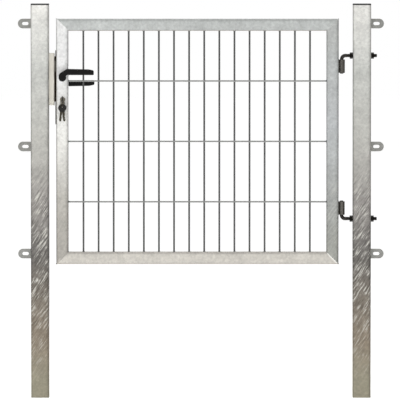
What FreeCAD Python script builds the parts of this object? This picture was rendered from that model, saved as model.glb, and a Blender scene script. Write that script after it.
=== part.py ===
"""Garden gate: a welded mesh leaf hung between two square posts, with a mortise lock.

Millimetres. +Z is up, the posts' feet stand at z = 0 and x = 0 is the middle of the gateway.
The lock post stands on the -X side and the hinge post on the +X side. The leaf opens towards -Y.
"""
import FreeCAD
import Part
import math
import os

from FreeCAD import Vector

# --- gateway and posts ---
OPENING_WIDTH = 1005.0
POST_LENGTH = 1300.0
POST_SIDE = 60.0
POST_WALL = 2.5
POST_CORNER = 5.0
CAP_FLANGE = 5.0
CAP_EDGE = 1.2
CAP_SKIRT = 16.0
CAP_WALL = 2.5
CAP_CLEARANCE = 0.15

# --- fence lugs on the outer faces of the posts ---
LUG_THICKNESS = 5.0
LUG_HEIGHT = 32.0
LUG_REACH = 43.0
LUG_SLOT_LENGTH = 21.0
LUG_SLOT_WIDTH = 10.5
LUG_SLOT_FROM_POST = 18.5
TOP_LUG_DROP = 61.0
MIDDLE_LUG_DROP = 468.0
BOTTOM_LUG_DROP = 823.0

# --- leaf: it fills the gateway but for a gap at each side ---
LATCH_GAP = 24.0
HINGE_GAP = 47.0
LEAF_WIDTH = OPENING_WIDTH - LATCH_GAP - HINGE_GAP
LEAF_HEIGHT = 812.0
LEAF_TOP_DROP = 45.0
TUBE_SIDE = 40.0
TUBE_WALL = 2.0
TUBE_CORNER = 3.5
BAR_WIRE = 6.0
CROSS_WIRE = 5.0
BAR_PITCH = 50.0
BAR_OFFSET = 2.5
CROSS_PITCH = 200.0
WELD_SINK = 0.4

# --- hinges ---
SLEEVE_RADIUS = 10.5
SLEEVE_LENGTH = 44.0
HOOK_RADIUS = 6.0
HOOK_BEND = 12.0
HOOK_REST_GAP = 1.0
HOOK_STICK_OUT = 20.0
PIN_CLEARANCE = 0.05
HOOK_HOLE_CLEARANCE = 0.3
UPPER_HOOK_DROP = 122.0
LOWER_HOOK_RISE = 150.0
NUT_WIDTH = 19.0
NUT_HEIGHT = 10.0
NUT_FACE_OVER_FLATS = 0.9
NUT_CHAMFER = 0.8

# --- lock: the case fills the stile, and the spindle's place in it sets all the rest ---
CASE_BACK_GAP = 0.5
CASE_BEHIND_SPINDLE = 16.5
BACKSET = TUBE_SIDE - TUBE_WALL - CASE_BACK_GAP - CASE_BEHIND_SPINDLE
SPINDLE_DROP = 195.0
SPINDLE_TO_CYLINDER = 72.0
FOREND_LENGTH = 245.0
FOREND_WIDTH = 24.0
FOREND_THICKNESS = 3.0
FOREND_DROP = 32.0
FOREND_FLAT = 1.0
CASE_LENGTH = 185.0
CASE_DEPTH = BACKSET + CASE_BEHIND_SPINDLE
CASE_THICKNESS = 14.0
CASE_SHEET = 1.5
LATCH_RISE = 38.0
LATCH_HEIGHT = 36.0
LATCH_THICKNESS = 10.0
LATCH_THROW = 11.0
LATCH_INSIDE = 8.0
LATCH_BAR_RISE = 22.0
LATCH_BAR_HEIGHT = 12.0
LATCH_FINGER = 3.5
LATCH_FINGER_BELOW = 0.5
BOLT_DROP = 51.0
BOLT_HEIGHT = 30.0
BOLT_THICKNESS = 8.0
BOLT_THROW = 16.0
BOLT_HEAD_INSIDE = 15.0
BOLT_TAIL_INSIDE = 31.0
CAM_CLEARANCE = 2.0
SLIDE_CLEARANCE = 0.3
FOLLOWER_RADIUS = 9.0
FOLLOWER_STUB = 6.0
FOLLOWER_ARM = 18.3
FOLLOWER_ARM_WIDTH = 5.0
FOLLOWER_ARM_LEAN = 17.5
SPRING_COIL = 2.6
SPRING_WIRE = 0.4
SPRING_PITCH = 3.6
SCREW_RADIUS = 2.5
SCREW_HEAD = 4.5
SCREW_CLEARANCE = 0.1
SCREW_FROM_END = 9.0
SCREW_LENGTH = 10.0
DRIVE_LENGTH = 5.0
DRIVE_WIDTH = 1.2

# --- cylinder and keys ---
CYLINDER_HALF = 28.0
CYLINDER_ROUND = 8.5
CYLINDER_LEG = 5.0
CYLINDER_FOOT = 24.5
CYLINDER_SCREW_DROP = 20.0
PROFILE_CLEARANCE = 0.3
PLUG_RADIUS = 6.0
CAM_WIDTH = 10.0
CAM_RING = 7.5
CAM_REACH = 14.5
CAM_LOBE = 6.0
CAM_GAP = 0.4
BLADE_THICKNESS = 2.2
BLADE_HEIGHT = 8.0
BLADE_INSIDE = 21.5
BLADE_OUTSIDE = 12.0
BLADE_TIP = 3.0
BLADE_TIP_UNDER = 2.0
CUT_PITCH = 4.0
FIRST_CUT = 2.5
CUT_DEPTHS = (1.6, 2.6, 1.2, 2.2, 1.8)
KEYWAY_CLEARANCE = 0.15
KEYWAY_END_GAP = 0.3
HEAD_RADIUS = 11.5
HEAD_THICKNESS = 3.0
HEAD_EYE = 4.5
EYE_OFFSET = 4.5
NECK_OVER_BLADE = 1.5
NECK_ALONG_BLADE = 2.0
RING_RADIUS = 9.5
RING_WIRE = 0.9
RING_SAG = 2.0
SPARE_LEAN = 6.0
SPARE_GAP = 0.5

# --- handles ---
SPINDLE_SIDE = 8.0
SPINDLE_HALF = 50.0
SPINDLE_CLEARANCE = 0.05
SPINDLE_CHAMFER = 0.8
NECK_RADIUS = 11.8
NECK_STEM = 10.0
BAR_INNER_FACE = 48.0
BAR_DEPTH = 16.0
BAR_LENGTH = 104.0
BAR_UNDERSIDE = 9.5
BAR_TOP = 30.0
BAR_TIP_DROP = 5.0
BAR_TAPER = 17.0
BAR_TAPER_DROP = 1.5
BAR_EDGE = 4.5
SHOULDER_START = 13.0
SHOULDER_END = 15.0
SPIGOT_RADIUS = 8.0
SPIGOT_DEPTH = 7.0
BUSH_FLANGE = 12.0
BUSH_FLANGE_THICKNESS = 2.0
BUSH_RADIUS = 9.5
BUSH_DEPTH = 6.0
BUSH_CLEARANCE = 0.05
GRUB_DISTANCE = 34.0
GRUB_DEPTH = 5.5
HANDLE_GAP = 0.3

# --- keeper on the lock post ---
KEEPER_HEIGHT = 172.0
KEEPER_RISE = -5.0
KEEPER_GAP = 3.0
KEEPER_REACH = LATCH_GAP - FOREND_THICKNESS - KEEPER_GAP
KEEPER_SHEET = 3.0
WINDOW_CLEARANCE = 3.0
BUFFER_THICKNESS = 2.2
BUFFER_GAP = 0.3
BUFFER_WIDTH = 6.0
BUFFER_LENGTH = 120.0
STOP_BAR_THICKNESS = 4.0
STOP_BAR_LENGTH = 150.0
STOP_BAR_CLEARANCE = 1.0
STOP_BAR_INSET = 4.0
STOP_BAR_CORNER = 5.0
BUFFER_INSET = 1.0
BUFFER_CORNER = 1.5

# --- overshoot of cutting tools, and overlap of fused pieces ---
PAST = 1.0

# --- places that follow from the sizes above ---
LOCK_FACE = -OPENING_WIDTH / 2
HINGE_FACE = OPENING_WIDTH / 2
LOCK_POST_X = LOCK_FACE - POST_SIDE / 2
HINGE_POST_X = HINGE_FACE + POST_SIDE / 2
LEAF_LEFT = LOCK_FACE + LATCH_GAP
LEAF_RIGHT = LEAF_LEFT + LEAF_WIDTH
LEAF_TOP = POST_LENGTH - LEAF_TOP_DROP
LEAF_BOTTOM = LEAF_TOP - LEAF_HEIGHT
LEAF_HALF = TUBE_SIDE / 2
HINGE_X = LEAF_RIGHT + SLEEVE_RADIUS
UPPER_HOOK_Z = LEAF_TOP - UPPER_HOOK_DROP
LOWER_HOOK_Z = LEAF_BOTTOM + LOWER_HOOK_RISE
SLEEVE_OFFSET = HOOK_BEND + HOOK_REST_GAP
SPINDLE_X = LEAF_LEFT + BACKSET
SPINDLE_Z = LEAF_TOP - SPINDLE_DROP
CYLINDER_Z = SPINDLE_Z - SPINDLE_TO_CYLINDER
FOREND_X = LEAF_LEFT - FOREND_THICKNESS
FOREND_Z = SPINDLE_Z - FOREND_DROP
CASE_RIGHT = LEAF_LEFT + CASE_DEPTH
LATCH_Z = SPINDLE_Z + LATCH_RISE
SPRING_Z = LATCH_Z + LATCH_HEIGHT / 4
BOLT_Z = SPINDLE_Z - BOLT_DROP
CYLINDER_SCREW_Z = CYLINDER_Z - CYLINDER_SCREW_DROP
KEEPER_Z = SPINDLE_Z + KEEPER_RISE
KEEPER_FACE = LOCK_FACE + KEEPER_REACH
KEEPER_BACK = LEAF_HALF + BUFFER_GAP + BUFFER_THICKNESS
STOP_BAR_RIGHT = SPINDLE_X - BUSH_FLANGE - STOP_BAR_CLEARANCE
EYE_Y = -(CYLINDER_HALF + BLADE_OUTSIDE + HEAD_RADIUS + EYE_OFFSET)
RING_Z = CYLINDER_Z - RING_SAG - RING_RADIUS


# --- shape helpers ---
def block(x, y, z):
    """A box from three (low, high) pairs."""
    return Part.makeBox(x[1] - x[0], y[1] - y[0], z[1] - z[0], Vector(x[0], y[0], z[0]))


def centred(middle, size):
    return (middle - size / 2, middle + size / 2)


def rod(radius, start, end):
    start = Vector(*start)
    along = Vector(*end) - start
    return Part.makeCylinder(radius, along.Length, start, along)


def lock_rod(radius, height, start_y, end_y):
    """A rod lying along Y on the upright line through the spindle."""
    return rod(radius, (SPINDLE_X, start_y, height), (SPINDLE_X, end_y, height))


def cross_rod(radius, height, start_x, end_x):
    """A rod lying along X in the middle of the gate's depth."""
    return rod(radius, (start_x, 0, height), (end_x, 0, height))


def prism(points, low_y, high_y):
    """An outline of (x, z) points pushed along +Y."""
    corners = [Vector(x, low_y, z) for x, z in points]
    face = Part.Face(Part.makePolygon(corners + corners[:1]))
    return face.extrude(Vector(0, high_y - low_y, 0))


def edges_along(shape, direction):
    """The straight edges that run along the direction."""
    straight = [e for e in shape.Edges if e.Curve.TypeId == "Part::GeomLine"]
    return [e for e in straight if abs(e.tangentAt(e.FirstParameter).dot(direction)) > 0.999]


def round_along(shape, radius, direction):
    return shape.makeFillet(radius, edges_along(shape, direction))


def inner_corner(corner, wall):
    return max(corner - wall, 0.5)


def square_tube(x, y, z, wall, corner, direction):
    """A hollow tube with rounded corners; x, y and z are its outer (low, high) pairs."""
    outer = round_along(block(x, y, z), corner, direction)
    walls = [0.0 if along else wall for along in direction]
    inner = block(*[(low + w, high - w) for (low, high), w in zip((x, y, z), walls)])
    return outer.cut(round_along(inner, inner_corner(corner, wall), direction))


def turned(shape, angle, axis=Vector(0, 1, 0), about=Vector(0, 0, 0)):
    copy = shape.copy()
    copy.rotate(about, axis, angle)
    return copy


def other_side(shape):
    """The same piece fitted on the back of the leaf: half a turn about the spindle's upright line."""
    return turned(shape, 180, Vector(1, 0, 0), Vector(SPINDLE_X, 0, SPINDLE_Z))


# --- posts ---
def post(middle_x, hook_heights):
    x = centred(middle_x, POST_SIDE)
    y = centred(0, POST_SIDE)
    tube = square_tube(x, y, (0, POST_LENGTH), POST_WALL, POST_CORNER, Vector(0, 0, 1))
    for height in hook_heights:
        tube = tube.cut(cross_rod(HOOK_RADIUS + HOOK_HOLE_CLEARANCE, height, x[0] - PAST, x[1] + PAST))
    return tube


def post_cap(middle_x):
    up = Vector(0, 0, 1)
    top = POST_LENGTH + CAP_FLANGE
    flange = block(centred(middle_x, POST_SIDE), centred(0, POST_SIDE), (POST_LENGTH, top))
    flange = round_along(flange, POST_CORNER, up)
    top_edges = [e for e in flange.Edges if e.BoundBox.ZMin > top - 0.01]
    flange = flange.makeFillet(CAP_EDGE, top_edges)
    outer = POST_SIDE - 2 * POST_WALL - 2 * CAP_CLEARANCE
    inner = outer - 2 * CAP_WALL
    depth = (POST_LENGTH - CAP_SKIRT, POST_LENGTH)
    skirt = block(centred(middle_x, outer), centred(0, outer), depth)
    skirt = round_along(skirt, inner_corner(POST_CORNER, POST_WALL), up)
    return flange.fuse(skirt.cut(block(centred(middle_x, inner), centred(0, inner), depth)))


def fence_lug(side, drop):
    """side is -1 on the lock post and +1 on the hinge post."""
    face = side * (OPENING_WIDTH / 2 + POST_SIDE)
    height = POST_LENGTH - drop
    thickness = centred(0, LUG_THICKNESS)
    end_radius = LUG_HEIGHT / 2
    end = face + side * (LUG_REACH - end_radius)
    plate = block(sorted((face, end)), thickness, centred(height, LUG_HEIGHT))
    plate = plate.fuse(rod(end_radius, (end, thickness[0], height), (end, thickness[1], height)))
    slot_radius = LUG_SLOT_WIDTH / 2
    slot_middle = face + side * LUG_SLOT_FROM_POST
    for x in centred(slot_middle, LUG_SLOT_LENGTH - LUG_SLOT_WIDTH):
        plate = plate.cut(rod(slot_radius, (x, -LUG_THICKNESS, height), (x, LUG_THICKNESS, height)))
    between = centred(slot_middle, LUG_SLOT_LENGTH - LUG_SLOT_WIDTH)
    return plate.cut(block(between, thickness, centred(height, LUG_SLOT_WIDTH))).removeSplitter()


# --- leaf frame ---
def rail(outer_z, inner_z):
    z = sorted((outer_z, inner_z))
    x = (LEAF_LEFT, LEAF_RIGHT)
    tube = square_tube(x, centred(0, TUBE_SIDE), z, TUBE_WALL, TUBE_CORNER, Vector(1, 0, 0))
    mitred = [
        (LEAF_LEFT, outer_z),
        (LEAF_RIGHT, outer_z),
        (LEAF_RIGHT - TUBE_SIDE, inner_z),
        (LEAF_LEFT + TUBE_SIDE, inner_z),
    ]
    return tube.common(prism(mitred, -TUBE_SIDE, TUBE_SIDE))


def stile(outer_x, inner_x):
    x = sorted((outer_x, inner_x))
    z = (LEAF_BOTTOM, LEAF_TOP)
    tube = square_tube(x, centred(0, TUBE_SIDE), z, TUBE_WALL, TUBE_CORNER, Vector(0, 0, 1))
    mitred = [
        (outer_x, LEAF_BOTTOM),
        (outer_x, LEAF_TOP),
        (inner_x, LEAF_TOP - TUBE_SIDE),
        (inner_x, LEAF_BOTTOM + TUBE_SIDE),
    ]
    return tube.common(prism(mitred, -TUBE_SIDE, TUBE_SIDE))


def lock_stile():
    """The stile with its lock pocket, spindle hole, cylinder hole and forend screw holes."""
    tube = stile(LEAF_LEFT, LEAF_LEFT + TUBE_SIDE)
    pocket_y = centred(0, CASE_THICKNESS + 2 * SLIDE_CLEARANCE)
    pocket_z = centred(FOREND_Z, CASE_LENGTH + 2 * SLIDE_CLEARANCE)
    wall = (LEAF_LEFT - PAST, LEAF_LEFT + TUBE_WALL + PAST)
    tube = tube.cut(block(wall, pocket_y, pocket_z))
    tube = tube.cut(lock_rod(BUSH_RADIUS, SPINDLE_Z, -TUBE_SIDE, TUBE_SIDE))
    tube = tube.cut(cylinder_profile(-TUBE_SIDE, TUBE_SIDE, PROFILE_CLEARANCE))
    for height in forend_screw_heights():
        tube = tube.cut(cross_rod(SCREW_RADIUS + SCREW_CLEARANCE, height, *wall))
    return tube


def wire_places(low, high, pitch):
    """Evenly spaced centres at the pitch, centred in the frame, with no wire against the tubes."""
    count = max(round((high - low) / pitch) - 1, 1)
    middle = (low + high) / 2
    return [middle + (n - (count - 1) / 2) * pitch for n in range(count)]


def inner_frame():
    x = (LEAF_LEFT + TUBE_SIDE, LEAF_RIGHT - TUBE_SIDE)
    z = (LEAF_BOTTOM + TUBE_SIDE, LEAF_TOP - TUBE_SIDE)
    return x, z


def bar_wires():
    """The upright wires; the mesh sits a little towards the lock stile."""
    (left, right), (low, high) = inner_frame()
    places = [x - BAR_OFFSET for x in wire_places(left, right, BAR_PITCH)]
    return Part.makeCompound([rod(BAR_WIRE / 2, (x, 0, low), (x, 0, high)) for x in places])


def cross_wires():
    """The level wires, lying on the front of the bar wires and sunk a little into them by the welds."""
    (left, right), (low, high) = inner_frame()
    y = WELD_SINK - (BAR_WIRE + CROSS_WIRE) / 2
    places = wire_places(low, high, CROSS_PITCH)
    return Part.makeCompound([rod(CROSS_WIRE / 2, (left, y, z), (right, y, z)) for z in places])


# --- hinges ---
def hinge_sleeve(hook_z, way):
    """way is -1 where the pin points down into the sleeve and +1 where it points up."""
    near = hook_z + way * SLEEVE_OFFSET
    far = near + way * SLEEVE_LENGTH
    tube = rod(SLEEVE_RADIUS, (HINGE_X, 0, near), (HINGE_X, 0, far))
    return tube.cut(rod(HOOK_RADIUS + PIN_CLEARANCE, (HINGE_X, 0, near), (HINGE_X, 0, far)))


def hook_bolt(hook_z, way):
    """A round bar through the post, bent square to make the hinge pin."""
    pin_end = Vector(HINGE_X, 0, hook_z + way * (SLEEVE_OFFSET + SLEEVE_LENGTH + HOOK_RADIUS / 2))
    bend_start = Vector(HINGE_X, 0, hook_z + way * HOOK_BEND)
    bend_end = Vector(HINGE_X + HOOK_BEND, 0, hook_z)
    turn = HOOK_BEND * (1 - math.sqrt(0.5))
    bend_middle = Vector(HINGE_X + turn, 0, hook_z + way * turn)
    outer_end = Vector(HINGE_FACE + POST_SIDE + HOOK_STICK_OUT, 0, hook_z)
    path = Part.Wire(
        [
            Part.LineSegment(pin_end, bend_start).toShape(),
            Part.Arc(bend_start, bend_middle, bend_end).toShape(),
            Part.LineSegment(bend_end, outer_end).toShape(),
        ]
    )
    section = Part.Wire(Part.makeCircle(HOOK_RADIUS, pin_end, Vector(0, 0, 1)))
    return path.makePipeShell([section], True, True)


def hinge_nuts(hook_z):
    """A nut on each side of the post sets how far the hinge stands off."""
    corner = NUT_WIDTH / math.sqrt(3)
    nuts = []
    for low_x in (HINGE_FACE - NUT_HEIGHT, HINGE_FACE + POST_SIDE):
        corners = []
        for n in range(7):
            angle = math.radians(60 * n + 30)
            corners.append(Vector(low_x, corner * math.cos(angle), hook_z + corner * math.sin(angle)))
        nut = Part.Face(Part.makePolygon(corners)).extrude(Vector(NUT_HEIGHT, 0, 0))
        high_x = low_x + NUT_HEIGHT
        turned_blank = cross_rod(NUT_WIDTH / 2 + NUT_FACE_OVER_FLATS, hook_z, low_x, high_x)
        rims = [e for e in turned_blank.Edges if e.BoundBox.XLength < 0.01]
        turned_blank = turned_blank.makeChamfer(NUT_CHAMFER, rims)
        nuts.append(nut.common(turned_blank).cut(cross_rod(HOOK_RADIUS, hook_z, low_x, high_x)))
    return Part.makeCompound(nuts)


# --- lock ---
def cylinder_profile(low_y, high_y, grow=0.0):
    """The keyhole-shaped section of the cylinder, pushed along Y."""
    top = lock_rod(CYLINDER_ROUND + grow, CYLINDER_Z, low_y, high_y)
    foot_z = CYLINDER_Z - CYLINDER_FOOT + CYLINDER_LEG
    foot = lock_rod(CYLINDER_LEG + grow, foot_z, low_y, high_y)
    leg = block(centred(SPINDLE_X, 2 * (CYLINDER_LEG + grow)), (low_y, high_y), (foot_z, CYLINDER_Z))
    return top.fuse([foot, leg]).removeSplitter()


def forend_screw_heights():
    return centred(FOREND_Z, FOREND_LENGTH - 2 * SCREW_FROM_END)


def case_space():
    """The (low, high) pairs inside the lock case."""
    return (
        (LEAF_LEFT, CASE_RIGHT - CASE_SHEET),
        centred(0, CASE_THICKNESS - 2 * CASE_SHEET),
        centred(FOREND_Z, CASE_LENGTH - 2 * CASE_SHEET),
    )


def case_holes():
    """The holes that the follower's stubs and the cylinder pass through."""
    reach = CASE_THICKNESS
    stub = lock_rod(FOLLOWER_STUB + PIN_CLEARANCE, SPINDLE_Z, -reach, reach)
    return stub.fuse(cylinder_profile(-reach, reach, PROFILE_CLEARANCE))


def lock_case():
    y = centred(0, CASE_THICKNESS)
    tray = block((LEAF_LEFT, CASE_RIGHT), (y[0], y[1] - CASE_SHEET), centred(FOREND_Z, CASE_LENGTH))
    inside_x, inside_y, inside_z = case_space()
    return tray.cut(block(inside_x, inside_y, inside_z)).cut(case_holes())


def lock_case_cover():
    y = centred(0, CASE_THICKNESS)
    sheet = block((LEAF_LEFT, CASE_RIGHT), (y[1] - CASE_SHEET, y[1]), centred(FOREND_Z, CASE_LENGTH))
    return sheet.cut(case_holes())


def countersunk_hole(height):
    head = SCREW_HEAD + SCREW_CLEARANCE
    shank = SCREW_RADIUS + SCREW_CLEARANCE
    mouth = Vector(FOREND_X, 0, height)
    cone = Part.makeCone(head, shank, head - shank, mouth, Vector(1, 0, 0))
    return cone.fuse(cross_rod(shank, height, FOREND_X - PAST, LEAF_LEFT + PAST))


def countersunk_screw(height, end_x):
    sink = SCREW_HEAD - SCREW_RADIUS
    head = Part.makeCone(SCREW_HEAD, SCREW_RADIUS, sink, Vector(FOREND_X, 0, height), Vector(1, 0, 0))
    shank = cross_rod(SCREW_RADIUS, height, FOREND_X + sink, end_x)
    screw = head.fuse(shank)
    for wide, high in ((DRIVE_WIDTH, DRIVE_LENGTH), (DRIVE_LENGTH, DRIVE_WIDTH)):
        slot = block((FOREND_X - PAST, FOREND_X + sink / 2), centred(0, wide), centred(height, high))
        screw = screw.cut(slot)
    return screw


def lock_forend():
    end_z = centred(FOREND_Z, FOREND_LENGTH)
    plate = block((FOREND_X, LEAF_LEFT), centred(0, FOREND_WIDTH), end_z)
    plate = round_along(plate, (FOREND_WIDTH - FOREND_FLAT) / 2, Vector(1, 0, 0))
    latch_y = centred(0, LATCH_THICKNESS + 2 * SLIDE_CLEARANCE)
    latch_z = centred(LATCH_Z, LATCH_HEIGHT + 2 * SLIDE_CLEARANCE)
    bolt_y = centred(0, BOLT_THICKNESS + 2 * SLIDE_CLEARANCE)
    bolt_z = centred(BOLT_Z, BOLT_HEIGHT + 2 * SLIDE_CLEARANCE)
    through = (FOREND_X - PAST, LEAF_LEFT + PAST)
    plate = plate.cut(block(through, latch_y, latch_z)).cut(block(through, bolt_y, bolt_z))
    for height in (*forend_screw_heights(), CYLINDER_SCREW_Z):
        plate = plate.cut(countersunk_hole(height))
    return plate


def latch_bolt():
    """The sprung latch: a bevelled head, a bar behind it and a finger that the follower pushes."""
    half = LATCH_THICKNESS / 2
    tip = FOREND_X - LATCH_THROW
    back = LEAF_LEFT + LATCH_INSIDE
    low, high = centred(LATCH_Z, LATCH_HEIGHT)
    outline = [
        (back, -half),
        (tip, -half),
        (tip, -half / 2),
        (FOREND_X - SLIDE_CLEARANCE, half),
        (back, half),
    ]
    corners = [Vector(x, y, low) for x, y in outline]
    head = Part.Face(Part.makePolygon(corners + corners[:1])).extrude(Vector(0, 0, high - low))
    head = head.cut(spring_pocket())
    lean = math.radians(FOLLOWER_ARM_LEAN)
    finger_x = SPINDLE_X - FOLLOWER_ARM * math.sin(lean) + FOLLOWER_ARM_WIDTH / 2 + SLIDE_CLEARANCE
    finger_low = SPINDLE_Z + FOLLOWER_ARM * math.cos(lean) - LATCH_FINGER_BELOW
    finger_end = finger_x + LATCH_FINGER
    bar_z = SPINDLE_Z + LATCH_BAR_RISE
    bar = block((back - PAST, finger_end), (-half, half), (bar_z, bar_z + LATCH_BAR_HEIGHT))
    finger = block((finger_x, finger_end), (-half, half), (finger_low, bar_z + PAST))
    return head.fuse([bar, finger]).removeSplitter()


def spring_span():
    pocket_end = LEAF_LEFT - LATCH_INSIDE / 2
    return pocket_end, CASE_RIGHT - CASE_SHEET


def spring_pocket():
    low_x, high_x = spring_span()
    return cross_rod(SPRING_COIL + SPRING_WIRE + 2 * SLIDE_CLEARANCE, SPRING_Z, low_x, high_x)


def latch_spring():
    """A coil between the latch and the back of the case; it returns the latch and both handles."""
    low_x, high_x = spring_span()
    length = high_x - low_x - 2 * (SPRING_WIRE + SLIDE_CLEARANCE)
    helix = Part.makeHelix(SPRING_PITCH, length, SPRING_COIL)
    section = Part.Wire(Part.makeCircle(SPRING_WIRE, Vector(SPRING_COIL, 0, 0), Vector(0, 1, 0)))
    coil = Part.Wire(helix).makePipeShell([section], True, True)
    coil = turned(coil, 90)
    coil.translate(Vector(low_x + SPRING_WIRE + SLIDE_CLEARANCE, 0, SPRING_Z))
    return coil


def dead_bolt():
    """The dead bolt, drawn back: its tail is cut away to let the cam turn beneath it."""
    y = centred(0, BOLT_THICKNESS)
    low, high = centred(BOLT_Z, BOLT_HEIGHT)
    shoulder = LEAF_LEFT + BOLT_HEAD_INSIDE
    head = block((FOREND_X + SLIDE_CLEARANCE, shoulder), y, (low, high))
    tail_low = CYLINDER_Z + CAM_REACH + CAM_CLEARANCE
    tail = block((shoulder - PAST, LEAF_LEFT + BOLT_TAIL_INSIDE), y, (tail_low, high))
    return head.fuse(tail).removeSplitter()


def follower():
    """The lock's nut: it turns with the spindle and its arm draws the latch."""
    inside = CASE_THICKNESS / 2 - CASE_SHEET - SLIDE_CLEARANCE
    hub = lock_rod(FOLLOWER_RADIUS, SPINDLE_Z, -inside, inside)
    outside = CASE_THICKNESS / 2
    stub = lock_rod(FOLLOWER_STUB, SPINDLE_Z, -outside, outside)
    half = LATCH_THICKNESS / 2
    tip_z = SPINDLE_Z + FOLLOWER_ARM
    arm = block(centred(SPINDLE_X, FOLLOWER_ARM_WIDTH), (-half, half), (SPINDLE_Z, tip_z))
    arm = arm.fuse(lock_rod(FOLLOWER_ARM_WIDTH / 2, tip_z, -half, half))
    arm = turned(arm, -FOLLOWER_ARM_LEAN, about=Vector(SPINDLE_X, 0, SPINDLE_Z))
    return hub.fuse([stub, arm]).cut(spindle_hole(outside)).removeSplitter()


def spindle_hole(reach):
    side = SPINDLE_SIDE + 2 * SPINDLE_CLEARANCE
    return block(centred(SPINDLE_X, side), (-reach, reach), centred(SPINDLE_Z, side))


def spindle():
    y = (-SPINDLE_HALF, SPINDLE_HALF)
    bar = block(centred(SPINDLE_X, SPINDLE_SIDE), y, centred(SPINDLE_Z, SPINDLE_SIDE))
    ends = [e for e in bar.Edges if e.BoundBox.YLength < 0.01]
    return bar.makeChamfer(SPINDLE_CHAMFER, ends)


# --- handles ---
def lever_outline():
    """The lever's corners as (x, z, radius) from the spindle: a round neck and a bar set above it."""
    return [
        (-NECK_RADIUS, 0, None),
        (-NECK_RADIUS, SHOULDER_START, 9.0),
        (SHOULDER_END, BAR_TOP, 14.0),
        (BAR_LENGTH - BAR_TAPER, BAR_TOP - BAR_TAPER_DROP, 20.0),
        (BAR_LENGTH, BAR_TOP - BAR_TIP_DROP, 5.0),
        (BAR_LENGTH, BAR_UNDERSIDE, 3.0),
        (NECK_RADIUS + PAST, BAR_UNDERSIDE, 6.0),
        (NECK_RADIUS, 0, None),
    ]


def lever_bar():
    """The outline pushed out along -Y, its corners and then its rims rounded."""
    outline = lever_outline()
    points = [Vector(x, 0, z) for x, z, radius in outline]
    lines = [Part.makeLine(a, b) for a, b in zip(points, points[1:])]
    lines.append(Part.Arc(points[-1], Vector(0, 0, -NECK_RADIUS), points[0]).toShape())
    lever = Part.Face(Part.Wire(lines)).extrude(Vector(0, -BAR_DEPTH, 0))
    for x, z, radius in outline:
        if radius:
            corner = Vector(x, -BAR_DEPTH / 2, z)
            edge = [e for e in lever.Edges if e.CenterOfMass.distanceToPoint(corner) < 0.01]
            lever = lever.makeFillet(radius, edge)
    rims = [e for e in lever.Edges if e.BoundBox.YLength < 0.01]
    return lever.makeFillet(BAR_EDGE, rims)


def grub_rod(radius, low_z, high_z):
    """An upright rod on the line of the front handle's set screw."""
    return rod(radius, (SPINDLE_X, -GRUB_DISTANCE, low_z), (SPINDLE_X, -GRUB_DISTANCE, high_z))


def front_handle():
    lever = lever_bar()
    lever.translate(Vector(SPINDLE_X, -BAR_INNER_FACE, SPINDLE_Z))
    seat = LEAF_HALF + BUSH_FLANGE_THICKNESS + HANDLE_GAP
    stem_end = BAR_INNER_FACE + BAR_DEPTH / 2
    stem = lock_rod(NECK_STEM, SPINDLE_Z, -seat, -stem_end)
    spigot = lock_rod(SPIGOT_RADIUS, SPINDLE_Z, SPIGOT_DEPTH - seat, -stem_end)
    handle = lever.fuse([stem, spigot]).cut(spindle_hole(SPINDLE_HALF + PAST))
    return handle.cut(grub_rod(SCREW_RADIUS + SCREW_CLEARANCE, SPINDLE_Z - 2 * NECK_STEM, SPINDLE_Z))


def grub_screws():
    """One set screw under each handle's neck, bearing on the spindle."""
    top = SPINDLE_Z - SPINDLE_SIDE / 2
    front = grub_rod(SCREW_RADIUS, top - GRUB_DEPTH, top)
    return Part.makeCompound([front, other_side(front)])


def front_handle_bush():
    """A nylon bush pressed in the stile's wall: the handle's spigot turns in it."""
    face = -LEAF_HALF
    flange = lock_rod(BUSH_FLANGE, SPINDLE_Z, face, face - BUSH_FLANGE_THICKNESS)
    sleeve = lock_rod(BUSH_RADIUS, SPINDLE_Z, face, face + BUSH_DEPTH)
    bore = lock_rod(SPIGOT_RADIUS + BUSH_CLEARANCE, SPINDLE_Z, -TUBE_SIDE, 0)
    return flange.fuse(sleeve).cut(bore).removeSplitter()


# --- cylinder and keys ---
def cylinder_body():
    body = cylinder_profile(-CYLINDER_HALF, CYLINDER_HALF)
    bore = lock_rod(PLUG_RADIUS + PIN_CLEARANCE, CYLINDER_Z, -CYLINDER_HALF, CYLINDER_HALF)
    reach = CAM_REACH + 2 * CAM_GAP
    cam_y = centred(0, CAM_WIDTH + 2 * CAM_GAP)
    cam_room = block(centred(SPINDLE_X, 2 * reach), cam_y, centred(CYLINDER_Z, 2 * reach))
    leg = centred(SPINDLE_X, 2 * (CYLINDER_LEG + PAST))
    return body.cut(bore).cut(cam_room).cut(cross_rod(SCREW_RADIUS, CYLINDER_SCREW_Z, *leg))


def plug(near_y, far_y):
    """A plug with its upright keyway; near_y is the end that takes the key."""
    core = lock_rod(PLUG_RADIUS, CYLINDER_Z, near_y, far_y)
    way = math.copysign(1, far_y - near_y)
    deep = near_y + way * (BLADE_INSIDE + KEYWAY_END_GAP)
    wide = centred(SPINDLE_X, BLADE_THICKNESS + 2 * KEYWAY_CLEARANCE)
    high = centred(CYLINDER_Z, BLADE_HEIGHT + 2 * KEYWAY_CLEARANCE)
    return core.cut(block(wide, sorted((near_y - way * PAST, deep)), high))


def cam():
    y = centred(0, CAM_WIDTH)
    ring = lock_rod(CAM_RING, CYLINDER_Z, *y)
    lobe = block(centred(SPINDLE_X, CAM_LOBE), y, (CYLINDER_Z - CAM_REACH, CYLINDER_Z))
    return ring.fuse(lobe.common(lock_rod(CAM_REACH, CYLINDER_Z, *y))).removeSplitter()


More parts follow.
